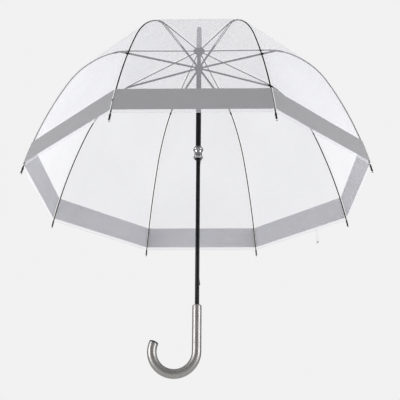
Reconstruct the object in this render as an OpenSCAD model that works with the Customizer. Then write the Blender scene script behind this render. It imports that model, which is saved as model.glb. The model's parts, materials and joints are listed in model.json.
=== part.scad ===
// Stick umbrella with a deep clear dome, eight flexible ribs and a crook handle.
// Millimetres, +Z up along the stick. The origin is the middle of the handle's straight grip.

/* [Canopy] */
// Distance from the stick's axis to each rib tip when open
canopy_r = 420; // [390:5:450]
// Thickness of the clear film
film_t = 0.8; // [0.6:0.1:1.2]
// Width of the silver border tape
band_w = 56; // [30:1:80]
// Clear margin between the border tape and the hem
band_margin = 8; // [4:1:20]
// Width of the strap that ties the closed canopy
strap_w = 10; // [8:1:20]
// Place of the strap along its panel's hem, from the middle
strap_place = -60; // [-90:5:90]

/* [Ribs and stretchers] */
// Diameter of the rib wire
rib_d = 2.8; // [2:0.1:3.2]
// Place along a rib where its stretcher joins it
joint_run = 214; // [205:1:225]
// Thickness of a stretcher's sheet metal
channel_t = 0.5; // [0.4:0.1:0.7]

/* [Stick] */
// Outer diameter of the shaft tube
shaft_d = 10; // [9:0.5:11]
// Bore of the shaft tube
shaft_bore = 8.4; // [7:0.1:8.6]
// Height of the rib pivots above the origin
crown_z = 745; // [740:5:800]
// Distance from the rib pivots down to the stretcher pivots when open
hub_drop = 53; // [48:1:58]
// Length of the point above the rib pivots
point_h = 81; // [60:1:100]

/* [Handle] */
// Diameter of the handle tube
handle_d = 21; // [18:0.5:24]
// Radius of the crook's bend, on its centreline
crook_r = 49.5; // [42:0.5:56]
// Height of the straight grip's top above the origin
grip_top = 47; // [45:1:60]
// Depth of the crook's centre below the origin
crook_drop = 54; // [45:1:60]
// Angle that the crook turns through
crook_turn = 201; // [180:1:215]

/* [Hidden] */
$fn = 64;
RIBS = 8;
STEP = 360 / RIBS;
HALF = STEP / 2;
PIVOT_R = 8;          // radius of both hinge wires
WIRE_D = 1.2;         // hinge wires
EYE_BORE = 1.7;       // eyes that turn on the hinge wires
EYE_D = 4.4;
EYE_T = 1.3;
SLOT_W = 1.7;
HUB_R = 12;
HUB_HALF = 3.4;
FIT = 0.1;            // on the diameter, where one part sits round another
CAP_R = 15.4;         // crown cap, which covers the film's inner edge
GAP = 0.5;            // half of the gap between two lengths of one rib
BEAD_STEP = 0.4;      // how much wider than the wire the bead on a rib is
BEAD_GAP = 0.1;       // half of the gap between the wires that meet in the bead
FILM_GAP = 0.9;       // between a rib and the film
SEAM_GAP = 0.05;      // half of the gap between two film panels
BAND_GAP = 0.05;      // between the film and what is on its outer side
BAND_T = 0.4;
STRAP_DROP = 40;      // length of the strap below the hem
STRAP_LAP = 6;        // length of the strap above the hem
FILM_START = 6;       // run along the rib profile where the film starts
TUBE_D = 13;          // runner tube
TUBE_BORE = 10.6;
GRIP_TOP_DROP = 288;  // the runner grip hangs between these depths under the crown
GRIP_END_DROP = 323;
CHANNEL_H = 2.8;      // height of a stretcher's folded sides
CHANNEL_IN = rib_d + 0.5;
FORK_SHARE = 0.52;    // share of a stretcher where its channel has no floor
OPEN_CATCH_DROP = 323.6;
CLOSED_CATCH_DROP = 648;
CATCH_L = 22;
CATCH_T = 2;
CATCH_OUT = 2;        // how far a catch's tip stands out of the shaft
TIP_L = 18;

// A rib's centreline: one straight run, then three arcs that steepen, as lengths and slopes.
RUNS = canopy_r * [0.44, 0.1786, 0.3095, 0.657];
SLOPES = [15, 15, 37, 64, 79.8];
function run_start(k) = k == 0 ? 0 : run_start(k - 1) + RUNS[k - 1];
function arc_radius(k) = RUNS[k] / (SLOPES[k + 1] - SLOPES[k]) * 180 / PI;
function chord(k, a) = k == 0
    ? undef
    : arc_radius(k) * [sin(a) - sin(SLOPES[k]), cos(a) - cos(SLOPES[k])];
function run_point(k) = k == 0
    ? [PIVOT_R, 0]
    : run_point(k - 1) + (k == 1
        ? RUNS[0] * [cos(SLOPES[0]), -sin(SLOPES[0])]
        : chord(k - 1, SLOPES[k]));
function run_of(l) = l < run_start(1) ? 0 : l < run_start(2) ? 1 : l < run_start(3) ? 2 : 3;
function slope_at(l) = let (k = run_of(l))
    SLOPES[k] + (SLOPES[k + 1] - SLOPES[k]) * (l - run_start(k)) / RUNS[k];
function rib_point(l) = let (k = run_of(l))
    run_point(k) + (k == 0 ? l * [cos(SLOPES[0]), -sin(SLOPES[0])] : chord(k, slope_at(l)));
FLEX_1 = run_start(2);
FLEX_2 = run_start(3);
RIB_L = run_start(4);
HEM = RIB_L - 20;
JOINT = rib_point(joint_run);
HUB_PIVOT = [PIVOT_R, -hub_drop];
STRETCHER_L = norm(JOINT - HUB_PIVOT);
STRETCHER_TILT = atan2(JOINT.y - HUB_PIVOT.y, JOINT.x - HUB_PIVOT.x);

NAMES_OF_EACH = ["rib_inner_", "rib_middle_", "rib_outer_", "stretcher_", "canopy_panel_"];

// ---- Helpers ----

// Turns the x-z plane of a rib or a stretcher to its own side of the stick.
module spoke(i) rotate([0, 0, HALF + (i - 1) * STEP]) translate([0, 0, crown_z]) children();

// Draws a flat outline in the x-z plane, with its thickness across y.
module across(t) rotate([90, 0, 0]) linear_extrude(t, center = true) children();

// A length of wire along the rib's centreline, inside one run.
module wire_run(k, from, to, d) {
    a0 = slope_at(from);
    a1 = SLOPES[k] + (SLOPES[k + 1] - SLOPES[k]) * (to - run_start(k)) / RUNS[k];
    if (k == 0) {
        p = rib_point(from);
        translate([p.x, 0, p.y]) rotate([0, 90 + SLOPES[0], 0]) cylinder(d = d, h = to - from);
    } else {
        c = run_point(k) - arc_radius(k) * [sin(SLOPES[k]), cos(SLOPES[k])];
        translate([c.x, 0, c.y]) rotate([90, 0, 0]) rotate([0, 0, 90 - a1])
            rotate_extrude(angle = a1 - a0, $fn = 96) translate([arc_radius(k), 0]) circle(d = d, $fn = 24);
    }
}

// A flat eye on a hinge wire, with a neck that reaches along the arm at the given slope.
module eye(pivot, slope, neck) {
    translate([pivot.x, 0, pivot.y]) rotate([0, slope, 0]) difference() {
        union() {
            rotate([90, 0, 0]) cylinder(d = EYE_D, h = EYE_T, center = true);
            translate([0, -EYE_T / 2, -rib_d / 2]) cube([neck, EYE_T, rib_d]);
        }
        rotate([90, 0, 0]) cylinder(d = EYE_BORE, h = EYE_T + 1, center = true, $fn = 32);
    }
}

// A slotted disc that holds a hinge wire, with eight slots for the eyes.
module slotted_disc(bore) {
    difference() {
        translate([0, 0, -HUB_HALF]) cylinder(r = HUB_R, h = 2 * HUB_HALF);
        translate([0, 0, -HUB_HALF - 1]) cylinder(d = bore, h = 2 * HUB_HALF + 2);
        rotate_extrude() translate([PIVOT_R, 0]) circle(d = WIRE_D + FIT, $fn = 32);
        for (i = [0:RIBS - 1]) rotate([0, 0, HALF + i * STEP])
            translate([PIVOT_R - EYE_D / 2 - 0.2, -SLOT_W / 2, -HUB_HALF - 1])
                cube([HUB_R, SLOT_W, 2 * HUB_HALF + 2]);
    }
}

module hinge_wire() rotate_extrude() translate([PIVOT_R, 0]) circle(d = WIRE_D, $fn = 32);

// The film's profile in the plane halfway between two ribs, off the rib profile by a distance.
function film_point(l, off) = let (
    p = rib_point(l), a = slope_at(l),
    n = [sin(a), cos(a) * cos(HALF)] / norm([sin(a), cos(a) * cos(HALF)]))
    [p.x * cos(HALF), p.y] + off * n;
function film_steps(from, to) = [for (k = [0:round((to - from) / 14)])
    from + (to - from) * k / round((to - from) / 14)];

// One eighth of the dome between two runs along the profile, inner face off the ribs by off.
module gore(i, from, to, off, t) {
    steps = film_steps(from, to);
    outline = concat([for (l = steps) film_point(l, off)],
        [for (k = [len(steps) - 1:-1:0]) film_point(steps[k], off + t)]);
    rotate([0, 0, i * STEP]) translate([0, 0, crown_z]) intersection() {
        across(canopy_r) polygon(outline);
        translate([SEAM_GAP / sin(HALF), 0, -2 * canopy_r]) linear_extrude(3 * canopy_r)
            polygon([[0, 0], canopy_r * 1.1 * [1, tan(HALF)], canopy_r * 1.1 * [1, -tan(HALF)]]);
    }
}

// A leaf of spring steel in the shaft, flush at its pivot and standing out at its tip.
module catch_leaf(tip_z, way) {
    root = shaft_d / 2 - 2.2;
    out = shaft_d / 2 + CATCH_OUT;
    color("silver") translate([0, 0, tip_z]) across(CATCH_T) polygon([
        [root - 0.8, 0], [out - 1.2, 0], [out, way * 1.2],
        [shaft_d / 2 - 0.4, way * (CATCH_L - 2)], [root, way * CATCH_L], [root - 0.8, way * (CATCH_L - 2)]]);
}

module catch_slot(tip_z, way) {
    low = min(tip_z - way * 0.4, tip_z + way * (CATCH_L + 0.6));
    translate([0, -CATCH_T / 2 - 0.2, low]) cube([shaft_d, CATCH_T + 0.4, CATCH_L + 1]);
}

// ---- Stick ----

module shaft() {
    color("#111111") difference() {
        translate([0, 0, -20]) cylinder(d = shaft_d, h = crown_z + 50);
        translate([0, 0, -21]) cylinder(d = shaft_bore, h = crown_z + 52);
        catch_slot(crown_z - OPEN_CATCH_DROP, -1);
        catch_slot(crown_z - CLOSED_CATCH_DROP, 1);
        translate([0, 0, crown_z - 9]) rotate([90, 0, 0]) cylinder(d = 1.8, h = 30, center = true);
    }
}

module point() {
    base = 6.2;
    tip_r = 4.6;
    color("#161616") translate([0, 0, crown_z]) difference() {
        rotate_extrude() polygon(concat(
            [[0, base], [7.8, base], [7.8, base + 2], [7.1, base + 3.2], [6.9, 40], [6.2, point_h - 12]],
            [for (a = [0:15:90]) [tip_r * cos(a) + (6.2 - tip_r) * cos(a), point_h - 8 + 8 * sin(a)]]));
        translate([0, 0, base - 1]) cylinder(d = shaft_d + FIT, h = 30.6 - base + 1);
    }
}

module crown_cap() {
    color("#1a1a1a") translate([0, 0, crown_z]) rotate_extrude() polygon([
        [shaft_d / 2 + FIT / 2, 3.5], [HUB_R + 0.4, 3.5], [CAP_R - 0.4, 1.9], [CAP_R, 2.5],
        [HUB_R + 0.6, 4.5], [9, 6], [shaft_d / 2 + FIT / 2, 6]]);
}

module crown_hub() {
    color("#1a1a1a") translate([0, 0, crown_z]) {
        slotted_disc(shaft_d + FIT);
        difference() {
            translate([0, 0, -13]) cylinder(r = PIVOT_R - EYE_D / 2 - 0.3 + 1.2, h = 13 - HUB_HALF);
            translate([0, 0, -14]) cylinder(d = shaft_d + FIT, h = 15);
            translate([0, 0, -9]) rotate([90, 0, 0]) cylinder(d = 1.8, h = 30, center = true);
        }
    }
}

module crown_wire() color("silver") translate([0, 0, crown_z]) hinge_wire();

module crown_rivet() {
    color("silver") translate([0, 0, crown_z - 9]) rotate([90, 0, 0]) {
        cylinder(d = 1.6, h = 15, center = true);
        for (s = [-1, 1]) translate([0, 0, s * 7.3]) cylinder(d = 2.6, h = 0.8, center = true);
    }
}

module open_catch() catch_leaf(crown_z - OPEN_CATCH_DROP, -1);
module closed_catch() catch_leaf(crown_z - CLOSED_CATCH_DROP, 1);

// ---- Handle ----

module handle() {
    color("#8f9096") {
        difference() {
            translate([0, 0, -crook_drop]) cylinder(d = handle_d, h = grip_top - 1 + crook_drop);
            translate([0, 0, -21]) cylinder(d = shaft_d + FIT, h = grip_top + 30);
        }
        translate([-crook_r, 0, -crook_drop]) rotate([-90, 0, 0])
            rotate_extrude(angle = crook_turn, $fn = 128)
                translate([crook_r, 0]) circle(d = handle_d, $fn = 64);
    }
}

module handle_collar() {
    color("#8f9096") translate([0, 0, grip_top - 0.9]) rotate_extrude() polygon([
        [shaft_d / 2 + FIT, 0], [handle_d / 2, 0], [handle_d / 2, 3],
        [handle_d / 2 - 0.8, 3.8], [shaft_d / 2 + FIT, 3.8]]);
}

module handle_end_cap() {
    color("#3a3a3c") translate([-crook_r, 0, -crook_drop]) rotate([-90, 0, 0]) rotate([0, 0, crook_turn + 0.05])
        translate([crook_r, 0, 0]) rotate([-90, 0, 0]) rotate_extrude() polygon([
            [0, 0], [handle_d / 2, 0], [handle_d / 2, 1.6], [handle_d / 2 - 1, 3.4],
            [handle_d / 2 - 3.4, 4.8], [0, 5.2]]);
}

// ---- Runner ----

module runner_hub() {
    color("#1a1a1a") translate([0, 0, crown_z - hub_drop]) {
        slotted_disc(TUBE_BORE);
        difference() {
            translate([0, 0, -16]) cylinder(d = TUBE_D + 3.2, h = 16 - HUB_HALF);
            translate([0, 0, -17]) cylinder(d = TUBE_D + FIT, h = 13);
            translate([0, 0, -17]) cylinder(d = TUBE_BORE, h = 20);
            for (i = [0:RIBS - 1]) rotate([0, 0, HALF + i * STEP])
                translate([PIVOT_R - EYE_D / 2 - 0.2, -SLOT_W / 2, -HUB_HALF - 1.4])
                    cube([HUB_R, SLOT_W, 4]);
        }
    }
}

module runner_wire() color("silver") translate([0, 0, crown_z - hub_drop]) hinge_wire();

module runner_tube() {
    top = crown_z - hub_drop - 4.2;
    bottom = crown_z - GRIP_END_DROP + 5;
    slot = crown_z - GRIP_TOP_DROP + 1.6;
    color("#141414") difference() {
        translate([0, 0, bottom]) cylinder(d = TUBE_D, h = top - bottom);
        translate([0, 0, bottom - 1]) cylinder(d = TUBE_BORE, h = top - bottom + 2);
        translate([0, -2, slot]) cube([TUBE_D, 4, 15]);
    }
}

module runner_grip() {
    l = GRIP_TOP_DROP - GRIP_END_DROP;
    color("#9a9a9c") translate([0, 0, crown_z - GRIP_TOP_DROP]) difference() {
        rotate_extrude() polygon(concat(
            [[0, 0], [7.4, 0], [9, -1.2]],
            [for (a = [60:-30:-60]) [10.4 + 2.3 * cos(a), -8.4 + 3.6 * sin(a)]],
            [[9.6, -16], [9.3, -20], [9.6, -25.5]],
            [for (a = [60:-30:-60]) [9.5 + 2.4 * cos(a), -30 + 2.6 * sin(a)]],
            [[9, l], [0, l]]));
        translate([0, 0, l + 5]) cylinder(d = TUBE_D + FIT, h = -l);
        translate([0, 0, l - 1]) cylinder(d = TUBE_BORE, h = 10);
        translate([0, -HUB_R, l]) rotate([90, 0, 0]) cylinder(d = 11, h = 10, center = true);
    }
}

// ---- Ribs and stretchers ----

module rib_inner(i) {
    color("#161616") spoke(i) {
        eye([PIVOT_R, 0], SLOPES[0], 7);
        wire_run(0, 5.5, RUNS[0] - BEAD_GAP, rib_d);
        wire_bead();
        wire_run(1, RUNS[0] + BEAD_GAP, FLEX_1 - GAP, rib_d);
        rib_bracket();
    }
}

// The bead on the wire where its curve begins, which the film is stitched against.
module wire_bead() {
    seat = rib_point(RUNS[0]);
    translate([seat.x, 0, seat.y]) sphere(d = rib_d + BEAD_STEP, $fn = 32);
}

// The ear under a rib that its stretcher's fork closes round.
module rib_bracket() {
    a = slope_at(joint_run);
    translate([JOINT.x, 0, JOINT.y]) rotate([0, a, 0]) difference() {
        union() {
            rotate([0, 90, 0]) cylinder(d = rib_d + 0.4, h = 9, center = true);
            rotate([90, 0, 0]) cylinder(d = 4, h = rib_d - 0.6, center = true);
        }
        rotate([90, 0, 0]) cylinder(d = 1.3, h = 10, center = true, $fn = 32);
    }
}

module rib_middle(i) color("#161616") spoke(i) wire_run(2, FLEX_1 + GAP, FLEX_2 - GAP, rib_d);

module rib_outer(i) {
    color("#161616") spoke(i) {
        wire_run(3, FLEX_2 + GAP, RIB_L - 2, rib_d);
        wire_run(3, RIB_L - TIP_L, RIB_L - 4, rib_d + 1.4);
    }
    color("silver") spoke(i) {
        end = rib_point(RIB_L - 2.5);
        translate([end.x, 0, end.y]) sphere(d = 5, $fn = 32);
    }
}

module stretcher(i) {
    neck = 7;
    out = CHANNEL_IN + 2 * channel_t;
    floor_l = STRETCHER_L * FORK_SHARE;
    color("#161616") spoke(i) {
        eye(HUB_PIVOT, -STRETCHER_TILT, neck + 2);
        translate([HUB_PIVOT.x, 0, HUB_PIVOT.y]) rotate([0, -STRETCHER_TILT, 0]) {
            for (s = [-1, 1]) translate([neck, s * (out - channel_t) / 2 - channel_t / 2, -CHANNEL_H / 2])
                cube([STRETCHER_L - neck + 1.2, channel_t, CHANNEL_H]);
            translate([neck, -out / 2, -CHANNEL_H / 2]) cube([floor_l - neck, out, channel_t]);
            translate([neck, -out / 2, -CHANNEL_H / 2]) cube([channel_t * 2, out, CHANNEL_H]);
            for (s = [-1, 1]) translate([STRETCHER_L, s * (out / 2 + 0.2), 0]) rotate([90, 0, 0])
                cylinder(d = 2.6, h = 0.5, center = true, $fn = 32);
        }
    }
}

// ---- Canopy ----

module canopy_panel(i) {
    color("#dfe6ee", 0.35) gore(i, FILM_START, HEM, rib_d / 2 + FILM_GAP, film_t);
}

module border_band() {
    low = HEM - band_margin;
    color("#b9babd") for (i = [1:RIBS])
        gore(i, low - band_w, low, rib_d / 2 + FILM_GAP + film_t + BAND_GAP, BAND_T);
}

// The strap that ties the closed canopy, hanging from the hem of one panel.
module tie_strap() {
    hem = film_point(HEM, rib_d / 2 + FILM_GAP + film_t + BAND_GAP);
    color("#dfe6ee", 0.5) rotate([0, 0, STEP])
        translate([hem.x + BAND_GAP, strap_place - strap_w / 2, crown_z + hem.y - STRAP_DROP])
            cube([film_t, strap_w, STRAP_DROP + STRAP_LAP]);
}

shaft();
point();
crown_cap();
crown_hub();
crown_wire();
crown_rivet();
handle();
handle_collar();
handle_end_cap();
open_catch();
closed_catch();
runner_hub();
runner_wire();
runner_tube();
runner_grip();
border_band();
tie_strap();
for (i = [1:RIBS]) {
    rib_inner(i);
    rib_middle(i);
    rib_outer(i);
    stretcher(i);
    canopy_panel(i);
}
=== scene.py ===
"""A clear dome stick umbrella: the looks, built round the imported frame. Metres, +Z up along the stick."""

import json
import math

import bmesh
import bpy
from mathutils import Matrix, Vector
from mathutils import noise


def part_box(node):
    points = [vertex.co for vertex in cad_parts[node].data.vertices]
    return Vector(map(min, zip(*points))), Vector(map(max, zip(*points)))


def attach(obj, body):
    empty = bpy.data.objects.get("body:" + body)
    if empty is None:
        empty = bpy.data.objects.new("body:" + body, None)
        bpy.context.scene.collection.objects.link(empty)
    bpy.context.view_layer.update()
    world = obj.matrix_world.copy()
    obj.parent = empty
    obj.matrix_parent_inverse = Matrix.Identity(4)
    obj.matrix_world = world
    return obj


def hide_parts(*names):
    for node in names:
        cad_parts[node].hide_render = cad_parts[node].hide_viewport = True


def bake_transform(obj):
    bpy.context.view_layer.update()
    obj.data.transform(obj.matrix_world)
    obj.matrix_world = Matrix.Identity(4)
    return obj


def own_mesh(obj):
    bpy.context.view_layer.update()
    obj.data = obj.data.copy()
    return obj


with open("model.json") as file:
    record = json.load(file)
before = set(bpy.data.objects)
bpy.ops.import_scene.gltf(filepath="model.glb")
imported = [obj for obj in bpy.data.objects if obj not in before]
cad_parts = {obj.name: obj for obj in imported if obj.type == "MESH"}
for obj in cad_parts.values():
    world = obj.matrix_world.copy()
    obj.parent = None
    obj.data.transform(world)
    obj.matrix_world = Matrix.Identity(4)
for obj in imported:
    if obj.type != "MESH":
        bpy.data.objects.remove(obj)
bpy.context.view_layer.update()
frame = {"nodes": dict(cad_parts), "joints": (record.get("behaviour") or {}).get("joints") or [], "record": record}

# ---- Driving dimensions, in metres. A length along a rib is measured from its crown pivot. ----

RIBS = 8
STEP = 2 * math.pi / RIBS
HALF = STEP / 2
CANOPY_R = 0.42

# A rib's centreline is one straight run and three arcs that steepen: lengths and slopes.
RUNS = [CANOPY_R * share for share in (0.44, 0.1786, 0.3095, 0.657)]
SLOPES = [math.radians(a) for a in (15, 15, 37, 64, 79.8)]
RIB_D = 0.0028
TIP_L = 0.018
JOINT_RUN = 0.214  # where the stretcher is riveted to its rib

FILM_GAP = 0.0009
FILM_T = 0.0008
FILM_OFF = RIB_D / 2 + FILM_GAP + FILM_T / 2
FILM_START = 0.006
HEM_IN = 0.02  # how far the hem lies short of the rib's end
BAND_W = 0.056
BAND_MARGIN = 0.008
BAND_OFF = FILM_OFF + 0.0005
BACK_IN = 0.0002  # how far the stripe's inner face lies inside its outer face
SEAM = 0.0018  # the strip beside each rib that isn't printed
STRAP_W = 0.010
STRAP_L = 0.046
STRAP_LAP = 0.006
STRAP_PLACE = -0.060  # across its panel, from the middle

SHAFT_R = 0.005
HANDLE_R = 0.0105
CROOK_R = 0.0495
CROOK_DROP = 0.054
CROOK_TURN = math.radians(201)

# Rows along each run and columns across a half panel, for the film and the stripe.
ROWS = {"inner": 32, "middle": 20, "outer": 36}
BAND_ROWS = 10
EVEN_COLUMNS = 20
FINE_COLUMNS = 2

# ---- Worked out from the dimensions and the frame ----

RIB_PIVOT = Vector(next(j["pos_m"] for j in frame["joints"] if j["name"] == "rib_1_fold"))
CROWN = Vector((0, 0, RIB_PIVOT.z))
PIVOT_R = math.hypot(RIB_PIVOT.x, RIB_PIVOT.y)
RUN_STARTS = [sum(RUNS[:k]) for k in range(5)]
FLEX_1, FLEX_2, RIB_L = RUN_STARTS[2:]
HEM = RIB_L - HEM_IN
COLUMNS = EVEN_COLUMNS + FINE_COLUMNS
LENGTHS = {
    "inner": (FILM_START, FLEX_1),
    "middle": (FLEX_1, FLEX_2),
    "outer": (FLEX_2, HEM),
}
SIDE_WORDS = {-1: "right", 1: "left"}
FAR_FROM_RIB = 0.1  # the cut coordinate of film pieces that touch no rib


# ---- The rib profile, as (distance from the axis, height under the crown) ----


def run_of(length):
    """The number of the run that a length along the rib falls in."""
    return max(k for k in range(4) if length >= RUN_STARTS[k] or k == 0)


def slope_at(length):
    k = run_of(length)
    return SLOPES[k] + (SLOPES[k + 1] - SLOPES[k]) * (length - RUN_STARTS[k]) / RUNS[k]


def advance(point, length, slope_0, slope_1):
    """The far end of a straight run or an arc that starts at point."""
    if abs(slope_1 - slope_0) < 1e-9:
        return point + length * Vector((math.cos(slope_0), -math.sin(slope_0)))
    radius = length / (slope_1 - slope_0)
    return point + radius * Vector(
        (math.sin(slope_1) - math.sin(slope_0), math.cos(slope_1) - math.cos(slope_0))
    )


def rib_point(length):
    point = Vector((PIVOT_R, 0))
    k = run_of(length)
    for j in range(k):
        point = advance(point, RUNS[j], SLOPES[j], SLOPES[j + 1])
    return advance(point, length - RUN_STARTS[k], SLOPES[k], slope_at(length))


def film_point(length, off):
    """A point of the film's profile halfway between two ribs, moved off the rib profile."""
    point, slope = rib_point(length), slope_at(length)
    normal = Vector((math.sin(slope), math.cos(slope) * math.cos(HALF))).normalized()
    return Vector((point.x * math.cos(HALF), point.y)) + off * normal


def rib_angle(i):
    return HALF + (i - 1) * STEP


def out_dir(angle):
    return Vector((math.cos(angle), math.sin(angle), 0))


def on_rib(i, length, lift=0.0, side=0.0):
    """A point of rib i in space, lifted off its centreline and moved to its side."""
    point, slope, angle = rib_point(length), slope_at(length), rib_angle(i)
    radial = out_dir(angle)
    normal = math.sin(slope) * radial + Vector((0, 0, math.cos(slope)))
    across = Vector((-radial.y, radial.x, 0))
    return CROWN + point.x * radial + Vector((0, 0, point.y)) + lift * normal + side * across


# ---- Materials ----


def new_material(name):
    material = bpy.data.materials.new(name)
    material.use_nodes = True
    tree = material.node_tree
    return material, tree, tree.nodes["Principled BSDF"]


def add(tree, kind, **values):
    node = tree.nodes.new(kind)
    for key, value in values.items():
        if key in node.inputs:
            node.inputs[key].default_value = value
        else:
            setattr(node, key, value)
    return node


def noise_ramp(tree, scale, low, high, detail=3.0, stretch=(1, 1, 1)):
    """Noise in object space, spread between two values or two colours."""
    coords = add(tree, "ShaderNodeTexCoord")
    mapping = add(tree, "ShaderNodeMapping")
    mapping.inputs["Scale"].default_value = stretch
    tree.links.new(coords.outputs["Object"], mapping.inputs["Vector"])
    texture = add(tree, "ShaderNodeTexNoise", Scale=scale, Detail=detail)
    tree.links.new(mapping.outputs["Vector"], texture.inputs["Vector"])
    ramp = add(tree, "ShaderNodeValToRGB")
    ramp.color_ramp.elements[0].position = 0.35
    ramp.color_ramp.elements[1].position = 0.65
    for element, value in zip(ramp.color_ramp.elements, (low, high)):
        element.color = value if isinstance(value, tuple) else (value, value, value, 1)
    tree.links.new(texture.outputs["Fac"], ramp.inputs["Fac"])
    return ramp.outputs["Color"], texture.outputs["Fac"]


def bump(tree, shader, height, strength, distance):
    node = add(tree, "ShaderNodeBump", Strength=strength, Distance=distance)
    tree.links.new(height, node.inputs["Height"])
    tree.links.new(node.outputs["Normal"], shader.inputs["Normal"])


def lacquer(name, low, high, rough, metallic=0.0, grain=900.0, specular=0.5):
    """Paint, plastic or plating: two close shades, uneven roughness and a fine surface grain."""
    material, tree, shader = new_material(name)
    colour, _ = noise_ramp(tree, 30.0, low, high)
    tree.links.new(colour, shader.inputs["Base Color"])
    roughness, _ = noise_ramp(tree, 45.0, rough * 0.94, rough * 1.08)
    tree.links.new(roughness, shader.inputs["Roughness"])
    if grain:
        _, fine = noise_ramp(tree, grain, 0.0, 1.0)
        bump(tree, shader, fine, 0.3, 0.00002)
    shader.inputs["Metallic"].default_value = metallic
    shader.inputs["Specular IOR Level"].default_value = specular
    return material


def brushed(name, low, high, rough, stretch):
    """Bare metal with fine lines along one direction."""
    material, tree, shader = new_material(name)
    colour, _ = noise_ramp(tree, 300.0, low, high, stretch=stretch)
    tree.links.new(colour, shader.inputs["Base Color"])
    roughness, fine = noise_ramp(tree, 500.0, rough * 0.7, rough * 1.3, stretch=stretch)
    tree.links.new(roughness, shader.inputs["Roughness"])
    bump(tree, shader, fine, 0.25, 0.00002)
    shader.inputs["Metallic"].default_value = 1.0
    return material


def grey(value, tint=1.0):
    return (value, value, value * tint, 1)


def from_rib(tree, low, high, near, far):
    """A value that changes with the distance from the nearest rib, in metres, read off the cut."""
    cut = add(tree, "ShaderNodeUVMap", uv_map="cut")
    split = add(tree, "ShaderNodeSeparateXYZ")
    tree.links.new(cut.outputs["UV"], split.inputs["Vector"])
    spread = add(tree, "ShaderNodeMapRange", interpolation_type="SMOOTHSTEP")
    for key, value in (("From Min", low), ("From Max", high), ("To Min", near), ("To Max", far)):
        spread.inputs[key].default_value = value
    tree.links.new(split.outputs["X"], spread.inputs["Value"])
    return spread.outputs["Result"]


def clear_film():
    """Thin clear sheet: mostly see-through, with a milky haze that clears beside each rib; the clearing is painted
    shade, so a rib reads dark where it touches the film.
    """
    material, tree, shader = new_material("clear_film")
    colour, _ = noise_ramp(tree, 5.0, (0.86, 0.86, 0.91, 1), (0.93, 0.93, 0.97, 1), detail=1.5)
    tree.links.new(colour, shader.inputs["Base Color"])
    shader.inputs["Roughness"].default_value = 0.28
    shader.inputs["IOR"].default_value = 1.45
    _, ripple = noise_ramp(tree, 14.0, 0.0, 1.0, detail=1.0)
    bump(tree, shader, ripple, 0.2, 0.0006)
    haze = add(tree, "ShaderNodeBsdfTranslucent")
    tree.links.new(colour, haze.inputs["Color"])
    milk = add(tree, "ShaderNodeMixShader", Fac=0.6)
    tree.links.new(shader.outputs["BSDF"], milk.inputs[1])
    tree.links.new(haze.outputs["BSDF"], milk.inputs[2])
    cloud, _ = noise_ramp(tree, 6.0, 0.34, 0.42, detail=2.0)
    # Painted shade: the haze fades out within a few millimetres of each rib, standing in for the rib's contact
    # shadow on the lit film.
    haze_with_rib_shade = add(tree, "ShaderNodeMath", operation="MULTIPLY")
    tree.links.new(cloud, haze_with_rib_shade.inputs[0])
    tree.links.new(from_rib(tree, 0.003, 0.008, 0.0, 1.0), haze_with_rib_shade.inputs[1])
    clear = add(tree, "ShaderNodeBsdfTransparent")
    both = add(tree, "ShaderNodeMixShader")
    tree.links.new(haze_with_rib_shade.outputs["Value"], both.inputs["Fac"])
    tree.links.new(clear.outputs["BSDF"], both.inputs[1])
    tree.links.new(milk.outputs["Shader"], both.inputs[2])
    tree.links.new(both.outputs["Shader"], tree.nodes["Material Output"].inputs["Surface"])
    return material


def border_ink(name, low, high, rough, metallic, through):
    """One face of the printed stripe: fine flake in a satin ink that lets a little light through."""
    material, tree, shader = new_material(name)
    colour, flake = noise_ramp(tree, 1400.0, low, high)
    tree.links.new(colour, shader.inputs["Base Color"])
    uneven, _ = noise_ramp(tree, 30.0, rough * 0.88, rough * 1.12)
    tree.links.new(uneven, shader.inputs["Roughness"])
    shader.inputs["Metallic"].default_value = metallic
    bump(tree, shader, flake, 0.2, 0.00003)
    glow = add(tree, "ShaderNodeBsdfTranslucent")
    tree.links.new(colour, glow.inputs["Color"])
    both = add(tree, "ShaderNodeMixShader", Fac=through)
    tree.links.new(shader.outputs["BSDF"], both.inputs[1])
    tree.links.new(glow.outputs["BSDF"], both.inputs[2])
    tree.links.new(both.outputs["Shader"], tree.nodes["Material Output"].inputs["Surface"])
    return material


MATERIALS = {
    "black_tube": lacquer("black_tube", grey(0.003), grey(0.006), 0.3, specular=0.2),
    "black_plastic": lacquer("black_plastic", grey(0.006), grey(0.011), 0.4, grain=700.0, specular=0.3),
    "black_wire": lacquer("black_wire", grey(0.003), grey(0.006), 0.4, specular=0.15),
    "steel": brushed("steel", grey(0.5), grey(0.62), 0.25, (1, 1, 0.1)),
    "silver_lacquer": lacquer(
        "silver_lacquer", (0.35, 0.34, 0.33, 1), (0.37, 0.36, 0.35, 1), 0.44, metallic=0.9, grain=0
    ),
    # Near black for the crook's end cap: painted, standing in for the dark reflection on the crook's rounded end.
    "dark_end": lacquer("dark_end", grey(0.03), grey(0.05), 0.3),
    "pewter": lacquer("pewter", grey(0.42), grey(0.5), 0.14, metallic=1.0, grain=0),
    "silver_border": border_ink("silver_border", grey(0.44, 1.02), grey(0.5, 1.02), 0.62, 0.0, 0.5),
    # Inner face of the same print, coloured paler than the outer face: painted light for the front light on the
    # stripe's inside.
    "border_back_painted_light": border_ink("border_back_painted_light", grey(0.72, 1.03), grey(0.78, 1.03), 0.6, 0.0, 0.5),
    "clear_film": clear_film(),
}


# ---- Making pieces ----


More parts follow.
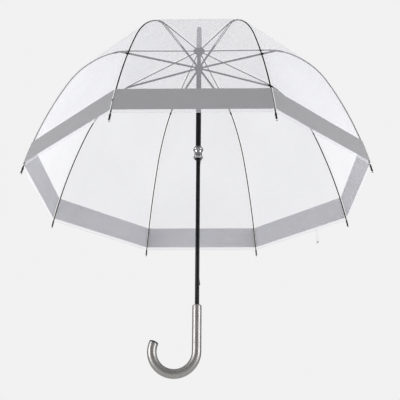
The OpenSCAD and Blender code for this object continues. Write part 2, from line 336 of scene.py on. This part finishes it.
def new_piece(name, vertices, faces, slot, body, smooth=True, uv=None):
    """A mesh object in a finish, riding on a body; with no body it is left unparented."""
    mesh = bpy.data.meshes.new(name)
    mesh.from_pydata([tuple(v) for v in vertices], [], faces)
    mesh.update()
    if uv:
        layer = mesh.uv_layers.new(name="cut")
        for loop in mesh.loops:
            layer.data[loop.index].uv = uv[loop.vertex_index]
    for polygon in mesh.polygons:
        polygon.use_smooth = smooth
    piece = bpy.data.objects.new(name, mesh)
    bpy.context.scene.collection.objects.link(piece)
    mesh.materials.append(MATERIALS[slot])
    if body:
        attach(piece, body)
    return piece


def tube(points, radii, across, sides=12, cap=True):
    """Vertices and faces of a round bar along points that lie in a plane square to across."""
    vertices, faces = [], []
    for k, point in enumerate(points):
        ahead = points[min(k + 1, len(points) - 1)] - points[max(k - 1, 0)]
        normal = ahead.cross(across).normalized()
        for j in range(sides):
            a = 2 * math.pi * j / sides
            vertices.append(point + radii[k] * (math.cos(a) * across + math.sin(a) * normal))
    for k in range(len(points) - 1):
        for j in range(sides):
            low, high = k * sides, (k + 1) * sides
            j2 = (j + 1) % sides
            faces.append((low + j, low + j2, high + j2, high + j))
    if cap:
        faces.append(tuple(range(sides))[::-1])
        faces.append(tuple((len(points) - 1) * sides + j for j in range(sides)))
    return vertices, faces


def steps(low, high, spacing):
    """Even values from low to high, about spacing apart."""
    count = max(2, round((high - low) / spacing))
    return [low + (high - low) * k / count for k in range(count + 1)]


# ---- Ribs ----


def rib_across(i):
    radial = out_dir(rib_angle(i))
    return Vector((-radial.y, radial.x, 0))


def rib_wires(i):
    """Two lengths of wire that meet in the middle of the rib's middle run, each running across one flex."""
    middle = (FLEX_1 + FLEX_2) / 2
    across = rib_across(i)
    top, end = 0.0045, RIB_L - 0.003
    parts = (
        ("rib_wire_upper_", top, middle, "rib_inner_", "rib_middle_", FLEX_1),
        ("rib_wire_lower_", middle, end, "rib_middle_", "rib_outer_", FLEX_2),
    )
    for name, low, high, body_a, body_b, flex in parts:
        points = [on_rib(i, length) for length in steps(low, high, 0.004)]
        vertices, faces = tube(points, [RIB_D / 2] * len(points), across)
        piece = new_piece(f"{name}{i}", vertices, faces, "black_wire", None)
        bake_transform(piece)
        if body_a == "rib_inner_":
            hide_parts(f"rib_inner_{i}", f"rib_middle_{i}")
        else:
            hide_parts(f"rib_outer_{i}")


def rib_root(i):
    """The flat eye that hooks the rib on the crown's hinge wire."""
    across, radial = rib_across(i), out_dir(rib_angle(i))
    pivot = on_rib(i, 0)
    down = math.cos(SLOPES[0]) * radial - Vector((0, 0, math.sin(SLOPES[0])))
    up = across.cross(down)
    outer, bore, neck, sides = 0.0022, 0.00085, 0.0075, 24
    half_thick, half_height = 0.00065, 0.0013
    turns = [2 * math.pi * j / sides for j in range(sides)]
    ring = [(math.cos(a), math.sin(a)) for a in turns]
    vertices, faces = [], []
    for side in (-1, 1):
        for radius in (bore, outer):
            centre = pivot + side * half_thick * across
            vertices += [centre + radius * (c * down + s * up) for c, s in ring]
    for j in range(sides):
        j2 = (j + 1) % sides
        faces.append((j, sides + j, sides + j2, j2))
        faces.append((2 * sides + j, 2 * sides + j2, 3 * sides + j2, 3 * sides + j))
        faces.append((j, j2, 2 * sides + j2, 2 * sides + j))
        faces.append((sides + j, 3 * sides + j, 3 * sides + j2, sides + j2))
    base = len(vertices)
    for along in (outer * 0.8, neck):
        for side, height in ((-1, -1), (1, -1), (1, 1), (-1, 1)):
            corner = side * half_thick * across + height * half_height * up
            vertices.append(pivot + along * down + corner)
    ends = ((3, 2, 1, 0), (4, 5, 6, 7))
    for face in ((0, 1, 5, 4), (1, 2, 6, 5), (2, 3, 7, 6), (3, 0, 4, 7), *ends):
        faces.append(tuple(base + corner for corner in face))
    new_piece(f"rib_eye_{i}", vertices, faces, "black_wire", f"rib_inner_{i}", smooth=False)


def rib_clip(i):
    """The black sleeve on the rib that its stretcher's fork is riveted to."""
    shape = (
        (-0.008, 0.0017), (-0.0072, 0.0021), (-0.004, 0.0022), (0.004, 0.0022), (0.012, 0.0024),
        (0.019, 0.0022), (0.0205, 0.0018),
    )
    points = [on_rib(i, JOINT_RUN + along) for along, _ in shape]
    vertices, faces = tube(points, [r for _, r in shape], rib_across(i), sides=20)
    new_piece(f"rib_clip_{i}", vertices, faces, "black_wire", f"rib_inner_{i}")


def rib_tip(i):
    """Plastic end cap that the film's corner is tied to, with a small bright ball."""
    shape = (
        (0.0000, 0.0015), (0.0003, 0.0020), (0.0012, 0.0023), (0.0030, 0.0023), (0.0042, 0.0020),
        (0.0100, 0.0019), (0.0128, 0.0021), (0.0142, 0.0021), (0.0150, 0.0017), (0.0152, 0.0012),
    )
    points = [on_rib(i, RIB_L - TIP_L + along) for along, _ in shape]
    vertices, faces = tube(points, [r for _, r in shape], rib_across(i), sides=20)
    new_piece(f"rib_cap_{i}", vertices, faces, "black_plastic", f"rib_outer_{i}")
    ball_r = 0.0025
    ball = bmesh.new()
    bmesh.ops.create_uvsphere(ball, u_segments=24, v_segments=16, radius=ball_r)
    bmesh.ops.translate(ball, verts=ball.verts, vec=on_rib(i, RIB_L - ball_r))
    vertices = [v.co.copy() for v in ball.verts]
    faces = [tuple(v.index for v in f.verts) for f in ball.faces]
    ball.free()
    new_piece(f"rib_ball_{i}", vertices, faces, "steel", f"rib_outer_{i}")


# ---- Canopy ----


def half_width(length, off):
    """Half the width of a gore at a length along its ribs."""
    return film_point(length, off).x * math.tan(HALF)


def wing_point(i, side, length, share, off):
    """A point of the half panel beside rib i: share 0 is at the rib, 1 halfway to the next rib."""
    panel_angle = rib_angle(i) + side * HALF
    point = film_point(length, off)
    outward, along = out_dir(panel_angle), out_dir(panel_angle + math.pi / 2)
    reach = point.x * math.tan(HALF) * (1 - share)
    return CROWN + point.x * outward - side * reach * along + Vector((0, 0, point.y))


def ripple(point, length, share):
    """How far the stretched film stands off its flat run, in soft wrinkles."""
    free = min(1, share * 5)
    slow = noise.noise(point * 7)
    fine = noise.noise(Vector((point.x * 16, point.y * 16, point.z * 40)))
    near_hem = math.exp((length - HEM) / 0.05)
    return free * (0.0009 * slow + 0.00035 * fine * near_hem)


def shares(width, inset=0.0):
    """Shares across a half panel: two fine steps beside the rib, then even ones."""
    fine = [(inset + step) / width for step in (0.0, 0.003, 0.007)]
    left = 1 - fine[-1]
    return fine + [fine[-1] + left * k / EVEN_COLUMNS for k in range(1, EVEN_COLUMNS + 1)]


def wing_rows(i, side, low, high, off, rows, inset=0.0):
    """Points and cut coordinates of a half panel, row by row down the profile."""
    narrowest = 0.012
    points, uv = [], []
    for length in steps(low, high, (high - low) / rows):
        width = half_width(length, off)
        for share in shares(max(width, narrowest), inset):
            lift = ripple(wing_point(i, side, length, share, off), length, share)
            points.append(wing_point(i, side, length, share, off + lift))
            uv.append((share * width, length))
    return points, uv


def grid_faces(rows, columns, flip):
    """Four-cornered faces of a grid of points; flip turns their outer side round."""
    faces = []
    for r in range(rows):
        for c in range(columns):
            a = r * (columns + 1) + c
            quad = (a, a + 1, a + columns + 2, a + columns + 1)
            faces.append(quad[::-1] if flip else quad)
    return faces


def fold(piece):
    """Gives a piece its own copy of its mesh."""
    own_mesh(piece)


def film_wing(i, side, part):
    """The half panel beside rib i over one length of the rib."""
    low, high = LENGTHS[part]
    points, uv = wing_rows(i, side, low, high, FILM_OFF, ROWS[part])
    faces = grid_faces(ROWS[part], COLUMNS, side < 0)
    name = f"film_{part}_{i}_{SIDE_WORDS[side]}"
    piece = new_piece(name, points, faces, "clear_film", f"rib_{part}_{i}", uv=uv)
    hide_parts(f"canopy_panel_{i if side > 0 else (i - 2) % RIBS + 1}")
    fold(piece)


def border_wing(i, side):
    """The printed stripe on one half panel: a silver face outside and an inner face coloured paler as painted
    light, for the front light that falls on the stripe's inside.
    """
    high = HEM - BAND_MARGIN
    low = high - BAND_W
    end = f"{i}_{SIDE_WORDS[side]}"
    for name, slot, off, flip in (
        ("border", "silver_border", BAND_OFF, side < 0),
        ("border_back_painted_light", "border_back_painted_light", BAND_OFF - BACK_IN, side > 0),
    ):
        points, uv = wing_rows(i, side, low, high, off, BAND_ROWS, SEAM)
        faces = grid_faces(BAND_ROWS, COLUMNS, flip)
        piece = new_piece(f"{name}_{end}", points, faces, slot, f"rib_outer_{i}", uv=uv)
        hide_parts("border_band")
        fold(piece)


def hem_bead(i, side):
    """The welded edge of the film at the hem."""
    bead_r = 0.0005
    width = half_width(HEM, FILM_OFF)
    points = []
    for share in shares(width):
        lift = ripple(wing_point(i, side, HEM, share, FILM_OFF), HEM, share)
        points.append(wing_point(i, side, HEM, share, FILM_OFF + lift))
    vertices, faces = tube(points, [bead_r] * len(points), Vector((0, 0, 1)), sides=8)
    uv = [(FAR_FROM_RIB, 0.0)] * len(vertices)
    name = f"hem_{i}_{SIDE_WORDS[side]}"
    piece = new_piece(name, vertices, faces, "clear_film", f"rib_outer_{i}", uv=uv)
    fold(piece)


def strap_stud(centre, outward, along):
    """The domed press stud on the strap: a pole and three rings, as (radius, height)."""
    rings = ((0.0, 0.0012), (0.0018, 0.0011), (0.0028, 0.0006), (0.0031, 0.0))
    sides = 20
    vertices = [centre + rings[0][1] * outward]
    for radius, out in rings[1:]:
        for j in range(sides):
            a = 2 * math.pi * j / sides
            up = Vector((0, 0, math.cos(a) * radius))
            vertices.append(centre + out * outward + math.sin(a) * radius * along + up)
    faces = [(0, 1 + j, 1 + (j + 1) % sides) for j in range(sides)]
    for k in range(len(rings) - 2):
        for j in range(sides):
            low, high, j2 = 1 + k * sides, 1 + (k + 1) * sides, (j + 1) % sides
            faces.append((low + j, high + j, high + j2, low + j2))
    stud = new_piece("tie_strap_stud", vertices, faces, "steel", "rib_outer_1")
    fold(stud)


def tie_strap():
    """A strip of the same film that hangs from one panel's hem, with a press stud at its end."""
    angle = rib_angle(1) + HALF
    outward, along = out_dir(angle), out_dir(angle + math.pi / 2)
    hem = film_point(HEM, FILM_OFF + 0.0006)
    rows, columns = 16, 4
    points, uv = [], []
    for r in range(rows + 1):
        drop = STRAP_L * r / rows - STRAP_LAP
        curl = 0.0007 * math.sin(drop * 90) if drop > 0 else 0.0
        height = Vector((0, 0, hem.y - drop))
        for c in range(columns + 1):
            side = STRAP_PLACE + STRAP_W * (c / columns - 0.5)
            points.append(CROWN + (hem.x + 0.0002 + curl) * outward + side * along + height)
            uv.append((FAR_FROM_RIB, drop))
    faces = grid_faces(rows, columns, True)
    strap = new_piece("tie_strap_film", points, faces, "clear_film", "rib_outer_1", uv=uv)
    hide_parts("tie_strap")
    fold(strap)
    stud_out, stud_drop = 0.0014, 0.034
    place = (hem.x + stud_out) * outward + STRAP_PLACE * along + Vector((0, 0, hem.y - stud_drop))
    strap_stud(CROWN + place, outward, along)


# ---- Stick, handle and runner ----


def lathe(name, profile, slot, body, nodes, sides=72):
    """A turned piece round the stick's axis, from (radius, height) pairs; a zero radius is a pole."""
    vertices, rings = [], []
    for radius, height in profile:
        if radius < 1e-6:
            rings.append([len(vertices)] * sides)
            vertices.append((0, 0, height))
            continue
        rings.append([len(vertices) + j for j in range(sides)])
        for j in range(sides):
            a = 2 * math.pi * j / sides
            vertices.append((radius * math.cos(a), radius * math.sin(a), height))
    faces = []
    for low, high in zip(rings, rings[1:]):
        for j in range(sides):
            j2 = (j + 1) % sides
            corners = (low[j], low[j2], high[j2], high[j])
            faces.append(tuple(dict.fromkeys(corners)))
    piece = new_piece(name, vertices, faces, slot, body)
    piece.data.set_sharp_from_angle(angle=math.radians(34))
    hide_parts(*nodes)
    return piece


def bulge(centre_r, centre_z, out, half_height):
    """A rounded ridge of a turned profile, from its foot to its head."""
    turns = [math.radians(a) for a in range(-60, 61, 15)]
    return [(centre_r + out * math.cos(a), centre_z + half_height * math.sin(a)) for a in turns]


def stick_pieces():
    """The shaft, the runner's tube and grip and the point, turned from their profiles."""
    low, high = (corner.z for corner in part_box("shaft"))
    profile = [(0, low), (SHAFT_R, low), (SHAFT_R, high), (0, high)]
    lathe("shaft_tube", profile, "black_tube", "stick", ["shaft"])
    bore_r, sleeve_r = 0.0053, 0.0065
    low, high = (corner.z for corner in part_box("runner_tube"))
    profile = [(bore_r, low), (sleeve_r, low), (sleeve_r, high), (bore_r, high)]
    lathe("runner_sleeve", profile, "black_tube", "runner", ["runner_tube"])
    low, high = (corner.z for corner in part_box("point"))
    profile = [(SHAFT_R, low), (0.0076, low), (0.0078, low + 0.0004), (0.0078, low + 0.0018)]
    profile += [(0.0073, low + 0.0028), (0.0070, low + 0.005), (0.0069, CROWN.z + 0.040)]
    nose_r, nose_h = 0.0060, 0.007
    profile += [(0.0062, high - 0.012), (nose_r, high - nose_h)]
    for a in range(15, 90, 15):
        turn = math.radians(a)
        profile.append((nose_r * math.cos(turn), high - nose_h + nose_h * math.sin(turn)))
    lathe("point_cap", profile + [(0, high)], "black_plastic", "stick", ["point"])
    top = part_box("runner_grip")[1].z
    profile = [(0.0066, top - 0.027), (0.0076, top - 0.030), (0.0084, top - 0.0348)]
    profile += [(0.0092, top - 0.035)] + bulge(0.0095, top - 0.030, 0.0024, 0.0026)
    profile += [(0.0096, top - 0.0255), (0.0093, top - 0.020), (0.0095, top - 0.0165)]
    profile += [(0.0100, top - 0.0138)] + bulge(0.0104, top - 0.0084, 0.0023, 0.0036)
    profile += [(0.0106, top - 0.0034), (0.0090, top - 0.0012), (0.0074, top), (0.0066, top)]
    lathe("grip_shell", profile, "pewter", "runner", ["runner_grip"])


def handle_pieces():
    """The straight grip and crook as one smooth tube, its collar and its rounded end cap."""
    across = Vector((0, 1, 0))
    low, high = (corner.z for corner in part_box("handle_collar"))
    points = [Vector((0, 0, z)) for z in steps(low, -CROOK_DROP, 0.006)]
    centre = Vector((-CROOK_R, 0, -CROOK_DROP))
    bend_steps = 96
    for k in range(1, bend_steps + 1):
        a = CROOK_TURN * k / bend_steps
        points.append(centre + CROOK_R * Vector((math.cos(a), 0, -math.sin(a))))
    vertices, faces = tube(points, [HANDLE_R] * len(points), across, sides=96, cap=False)
    piece = new_piece("handle_tube", vertices, faces, "silver_lacquer", "stick")
    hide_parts("handle")
    profile = [(HANDLE_R, low), (HANDLE_R, high - 0.0011), (HANDLE_R - 0.0004, high - 0.0004)]
    profile += [(HANDLE_R - 0.0011, high), (0.0051, high), (0.0051, high - 0.002)]
    lathe("handle_rim", profile, "silver_lacquer", "stick", ["handle_collar"], sides=96)
    ahead = Vector((-math.sin(CROOK_TURN), 0, -math.cos(CROOK_TURN)))
    shape = (
        (0.0, HANDLE_R), (0.0016, HANDLE_R), (0.0028, 0.0100), (0.0038, 0.0088),
        (0.0046, 0.0066), (0.0051, 0.0036),
    )
    rings = [points[-1] + along * ahead for along, _ in shape]
    vertices, faces = tube(rings, [r for _, r in shape], across, sides=64)
    # The cap's near-black colour is a painted reflection: the dark seen on the crook's rounded end, given to the
    # cap as colour.
    piece = new_piece("crook_cap", vertices, faces, "dark_end", "stick")
    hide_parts("handle_end_cap")


# ---- Every piece ----

stick_pieces()
handle_pieces()
for rib in range(1, RIBS + 1):
    rib_wires(rib)
    rib_root(rib)
    rib_clip(rib)
    rib_tip(rib)
    for which in (-1, 1):
        for part_name in LENGTHS:
            film_wing(rib, which, part_name)
        border_wing(rib, which)
        hem_bead(rib, which)
tie_strap()

# ---- Carried-over CAD nodes get their finish ----

NODE_SLOTS = {s["node"]: s["material_slot"] for s in frame["record"]["subparts"]}
for node_name, node_object in frame["nodes"].items():
    if node_object.hide_render:
        continue
    node_object.data.materials.clear()
    node_object.data.materials.append(MATERIALS[NODE_SLOTS[node_name]])

# ---- Floor, light and camera ----

FLOOR_Z = -1.0
FLOOR_R = 8.0


def floor_material():
    material, tree, shader = new_material("pale_floor")
    colour, _ = noise_ramp(tree, 3.0, grey(0.80), grey(0.84))
    tree.links.new(colour, shader.inputs["Base Color"])
    shader.inputs["Roughness"].default_value = 0.9
    return material


def make_floor():
    disc = bmesh.new()
    bmesh.ops.create_circle(disc, cap_ends=True, segments=96, radius=FLOOR_R)
    mesh = bpy.data.meshes.new("floor")
    disc.to_mesh(mesh)
    disc.free()
    mesh.materials.append(floor_material())
    floor = bpy.data.objects.new("floor", mesh)
    floor.location = (0, 0, FLOOR_Z)
    bpy.context.scene.collection.objects.link(floor)


def area_light(name, place, target, width, height, power):
    data = bpy.data.lights.new(name, "AREA")
    data.shape = "RECTANGLE"
    data.size = width
    data.size_y = height
    data.energy = power
    light = bpy.data.objects.new(name, data)
    place, target = Vector(place), Vector(target)
    turn = (target - place).to_track_quat("-Z", "Y").to_matrix().to_4x4()
    light.matrix_world = Matrix.Translation(place) @ turn
    bpy.context.scene.collection.objects.link(light)
    return data


def make_world():
    """A white backdrop, with light that is weaker from the camera's side of the studio."""
    world = bpy.data.worlds.new("studio")
    bpy.context.scene.world = world
    world.use_nodes = True
    tree = world.node_tree
    backdrop = tree.nodes["Background"]
    backdrop.inputs["Color"].default_value = grey(0.885)
    glow = add(tree, "ShaderNodeBackground")
    coords = add(tree, "ShaderNodeTexCoord")
    split = add(tree, "ShaderNodeSeparateXYZ")
    tree.links.new(coords.outputs["Generated"], split.inputs["Vector"])
    spread = add(tree, "ShaderNodeMapRange", interpolation_type="SMOOTHSTEP")
    for key, value in (("From Min", -0.9), ("From Max", 0.5), ("To Min", 0.5), ("To Max", 1.0)):
        spread.inputs[key].default_value = value
    tree.links.new(split.outputs["Y"], spread.inputs["Value"])
    tree.links.new(spread.outputs["Result"], glow.inputs["Strength"])
    ray = add(tree, "ShaderNodeLightPath")
    dim = add(tree, "ShaderNodeBackground", Color=grey(0.17))
    lit = add(tree, "ShaderNodeMixShader")
    tree.links.new(ray.outputs["Is Glossy Ray"], lit.inputs["Fac"])
    tree.links.new(glow.outputs["Background"], lit.inputs[1])
    tree.links.new(dim.outputs["Background"], lit.inputs[2])
    mixed = add(tree, "ShaderNodeMixShader")
    tree.links.new(ray.outputs["Is Camera Ray"], mixed.inputs["Fac"])
    tree.links.new(lit.outputs["Shader"], mixed.inputs[1])
    tree.links.new(backdrop.outputs["Background"], mixed.inputs[2])
    tree.links.new(mixed.outputs["Shader"], tree.nodes["World Output"].inputs["Surface"])


def make_light():
    """Two upright softboxes in front of the umbrella, the left one a little stronger."""
    target = (0, 0, 0.35)
    for name, x, power in (("left", -2.6, 23), ("right", 2.6, 21)):
        light = area_light(name, (x, -1.3, 0.6), target, 0.8, 1.9, power)
        light.spread = math.radians(110)


def make_camera():
    """The photograph's viewpoint: low, looking up into the canopy. Distances are in canopy radii."""
    tilt, roll, spin = 0.4243, -0.0045, 0.0197
    distance, right_by, up_by = 4.498, -0.0301, 0.9168
    forward = Vector((0, math.cos(tilt), math.sin(tilt)))
    side = Vector((1, 0, 0))
    up = Vector((0, -math.sin(tilt), math.cos(tilt)))
    right_axis = math.cos(roll) * side - math.sin(roll) * up
    up_axis = math.sin(roll) * side + math.cos(roll) * up
    place = -distance * forward - right_by * right_axis - up_by * up_axis
    turn = Matrix((right_axis, up_axis, -forward)).transposed().to_4x4()
    data = bpy.data.cameras.new("camera")
    data.sensor_width = 36.0
    data.lens = 63.612
    data.shift_x = -0.0095
    data.shift_y = -0.0105
    data.clip_start = 0.01
    data.clip_end = 100
    camera = bpy.data.objects.new("camera", data)
    about = Matrix.Rotation(spin, 4, "Z")
    offset = Matrix.Translation(place * CANOPY_R)
    camera.matrix_world = Matrix.Translation(CROWN) @ about @ offset @ turn
    bpy.context.scene.collection.objects.link(camera)
    bpy.context.scene.camera = camera


make_floor()
make_world()
make_light()
make_camera()
bpy.context.scene.view_settings.view_transform = "Standard"
